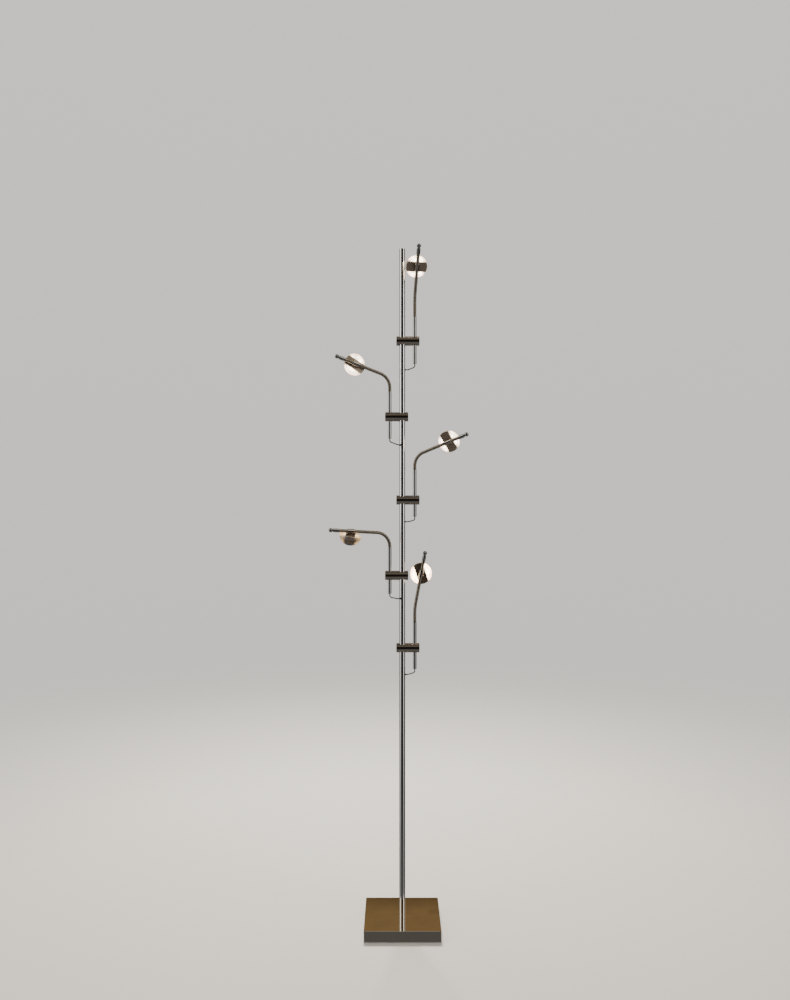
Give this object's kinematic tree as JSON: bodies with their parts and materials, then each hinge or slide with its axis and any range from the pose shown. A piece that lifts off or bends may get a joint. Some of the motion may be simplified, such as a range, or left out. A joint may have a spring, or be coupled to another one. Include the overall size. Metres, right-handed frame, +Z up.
{
  "type": "tree floor lamp",
  "caption": "Slim pole floor lamp on a square base, with flexible-necked arms held in round clamps, each carrying a glass lens spotlight head.",
  "frame": {"origin": "on the floor, under the centre of the pole and of the square base, at the underside of the base pad", "axes": "+Z up along the pole, +X to the right seen from the front, +Y to the back, where the cable gland is"},
  "size_m": [0.3666, 0.202, 1.812],
  "materials": {
    "base_top": "mirror-polished nickel",
    "foot_pad": "matt rubber",
    "pole_chrome": "mirror-polished nickel",
    "turned_steel": "turned",
    "black_plastic": "moulded",
    "lead_sleeve": "satin sleeve",
    "clamp_nickel": "polished nickel",
    "stem_nickel": "polished nickel",
    "neck_steel": "satin nickel, wound",
    "knob_nickel": "polished nickel",
    "collar_nickel": "polished nickel",
    "bar_nickel": "polished nickel",
    "led_board": "white board with a warm chip",
    "lens_glass": "clear polished glass"
  },
  "bodies": {
    "root": {"base_plate": "base_top", "base_pad": "foot_pad", "pole": "pole_chrome", "pole_cap": "pole_chrome", "foot_insert": "turned_steel", "foot_fixing": "turned_steel", "cable_gland": "black_plastic", "inner_cable": "lead_sleeve", "clamp_screws": "turned_steel", "lead_grommets": "black_plastic", "clamp_1": "clamp_nickel", "arm_1_lead": "lead_sleeve", "clamp_2": "clamp_nickel", "arm_2_lead": "lead_sleeve", "clamp_3": "clamp_nickel", "arm_3_lead": "lead_sleeve", "clamp_4": "clamp_nickel", "arm_4_lead": "lead_sleeve", "clamp_5": "clamp_nickel", "arm_5_lead": "lead_sleeve"},
    "arm_1_lower": {"arm_1_stem": "stem_nickel"},
    "arm_1_upper": {"arm_1_neck": "neck_steel", "arm_1_knob": "knob_nickel"},
    "head_1_mount": {"head_1_collar": "collar_nickel", "head_1_stud": "collar_nickel"},
    "head_1": {"head_1_bar": "bar_nickel", "head_1_led": "led_board", "head_1_lens": "lens_glass"},
    "arm_2_lower": {"arm_2_stem": "stem_nickel"},
    "arm_2_upper": {"arm_2_neck": "neck_steel", "arm_2_knob": "knob_nickel"},
    "head_2_mount": {"head_2_collar": "collar_nickel", "head_2_stud": "collar_nickel"},
    "head_2": {"head_2_bar": "bar_nickel", "head_2_led": "led_board", "head_2_lens": "lens_glass"},
    "arm_3_lower": {"arm_3_stem": "stem_nickel"},
    "arm_3_upper": {"arm_3_neck": "neck_steel", "arm_3_knob": "knob_nickel"},
    "head_3_mount": {"head_3_collar": "collar_nickel", "head_3_stud": "collar_nickel"},
    "head_3": {"head_3_bar": "bar_nickel", "head_3_led": "led_board", "head_3_lens": "lens_glass"},
    "arm_4_lower": {"arm_4_stem": "stem_nickel"},
    "arm_4_upper": {"arm_4_neck": "neck_steel", "arm_4_knob": "knob_nickel"},
    "head_4_mount": {"head_4_collar": "collar_nickel", "head_4_stud": "collar_nickel"},
    "head_4": {"head_4_bar": "bar_nickel", "head_4_led": "led_board", "head_4_lens": "lens_glass"},
    "arm_5_lower": {"arm_5_stem": "stem_nickel"},
    "arm_5_upper": {"arm_5_neck": "neck_steel", "arm_5_knob": "knob_nickel"},
    "head_5_mount": {"head_5_collar": "collar_nickel", "head_5_stud": "collar_nickel"},
    "head_5": {"head_5_bar": "bar_nickel", "head_5_led": "led_board", "head_5_lens": "lens_glass"}
  },
  "joints": [
    {"name": "arm_1_swivel", "type": "hinge", "parent": "root", "child": "arm_1_lower", "pos_m": [0.0335, 0, 1.565], "axis": [0, 0, 1], "range_deg": [-15, 120]},
    {"name": "arm_1_bend", "type": "hinge", "parent": "arm_1_lower", "child": "arm_1_upper", "pos_m": [0.0335, 0, 1.68495], "axis": [0.9848, 0.1736, 0], "range_deg": [-8, 60], "deforming": ["arm_1_neck"]},
    {"name": "head_1_roll", "type": "hinge", "parent": "arm_1_upper", "child": "head_1_mount", "pos_m": [0.03913, -0.03191, 1.75445], "axis": [0.0734, -0.4162, 0.9063], "range_deg": [-90, 45]},
    {"name": "head_1_spin", "type": "hinge", "parent": "head_1_mount", "child": "head_1", "pos_m": [0.03913, -0.03191, 1.75445], "axis": [-0.1574, 0.8925, 0.4226], "range_deg": [-90, 90]},
    {"name": "arm_2_swivel", "type": "hinge", "parent": "root", "child": "arm_2_lower", "pos_m": [-0.0335, 0, 1.362], "axis": [0, 0, 1], "range_deg": [-77, 100]},
    {"name": "arm_2_bend", "type": "hinge", "parent": "arm_2_lower", "child": "arm_2_upper", "pos_m": [-0.0335, 0, 1.46801], "axis": [0.3891, -0.9212, 0], "range_deg": [-25, 50], "deforming": ["arm_2_neck"]},
    {"name": "head_2_roll", "type": "hinge", "parent": "arm_2_upper", "child": "head_2_mount", "pos_m": [-0.12199, -0.03738, 1.49812], "axis": [-0.879, -0.3713, 0.299], "range_deg": [-90, 90]},
    {"name": "head_2_spin", "type": "hinge", "parent": "head_2_mount", "child": "head_2", "pos_m": [-0.12199, -0.03738, 1.49812], "axis": [-0.3891, 0.9212, 0], "range_deg": [-90, 90]},
    {"name": "arm_3_swivel", "type": "hinge", "parent": "root", "child": "arm_3_lower", "pos_m": [0.0335, 0, 1.139], "axis": [0, 0, 1], "range_deg": [-100, 77]},
    {"name": "arm_3_bend", "type": "hinge", "parent": "arm_3_lower", "child": "arm_3_upper", "pos_m": [0.0335, 0, 1.25701], "axis": [0.4274, 0.9041, 0], "range_deg": [-25, 50], "deforming": ["arm_3_neck"]},
    {"name": "head_3_roll", "type": "hinge", "parent": "arm_3_upper", "child": "head_3_mount", "pos_m": [0.11946, -0.04063, 1.29124], "axis": [0.8506, -0.4021, 0.3387], "range_deg": [-90, 90]},
    {"name": "head_3_spin", "type": "hinge", "parent": "head_3_mount", "child": "head_3", "pos_m": [0.11946, -0.04063, 1.29124], "axis": [0.3335, 0.9107, 0.2435], "range_deg": [-90, 90]},
    {"name": "arm_4_swivel", "type": "hinge", "parent": "root", "child": "arm_4_lower", "pos_m": [-0.0335, 0, 0.937], "axis": [0, 0, 1], "range_deg": [-77, 100]},
    {"name": "arm_4_bend", "type": "hinge", "parent": "arm_4_lower", "child": "arm_4_upper", "pos_m": [-0.0335, 0, 1.04978], "axis": [0.3502, -0.9367, 0], "range_deg": [-35, 35], "deforming": ["arm_4_neck"]},
    {"name": "head_4_roll", "type": "hinge", "parent": "arm_4_upper", "child": "head_4_mount", "pos_m": [-0.13519, -0.03802, 1.05662], "axis": [-0.9348, -0.3495, 0.0628], "range_deg": [-45, 90]},
    {"name": "head_4_spin", "type": "hinge", "parent": "head_4_mount", "child": "head_4", "pos_m": [-0.13519, -0.03802, 1.05662], "axis": [-0.1586, 0.2528, -0.9544], "range_deg": [-90, 90]},
    {"name": "arm_5_swivel", "type": "hinge", "parent": "root", "child": "arm_5_lower", "pos_m": [0.0335, 0, 0.743], "axis": [0, 0, 1], "range_deg": [-100, 20]},
    {"name": "arm_5_bend", "type": "hinge", "parent": "arm_5_lower", "child": "arm_5_upper", "pos_m": [0.0335, 0, 0.84948], "axis": [0, 1, 0], "range_deg": [-2, 75], "deforming": ["arm_5_neck"]},
    {"name": "head_5_roll", "type": "hinge", "parent": "arm_5_upper", "child": "head_5_mount", "pos_m": [0.05056, 0, 0.94151], "axis": [0.1822, 0, 0.9833], "range_deg": [-90, 30]},
    {"name": "head_5_spin", "type": "hinge", "parent": "head_5_mount", "child": "head_5", "pos_m": [0.05056, 0, 0.94151], "axis": [0, 1, 0], "range_deg": [-90, 90]}
  ]
}
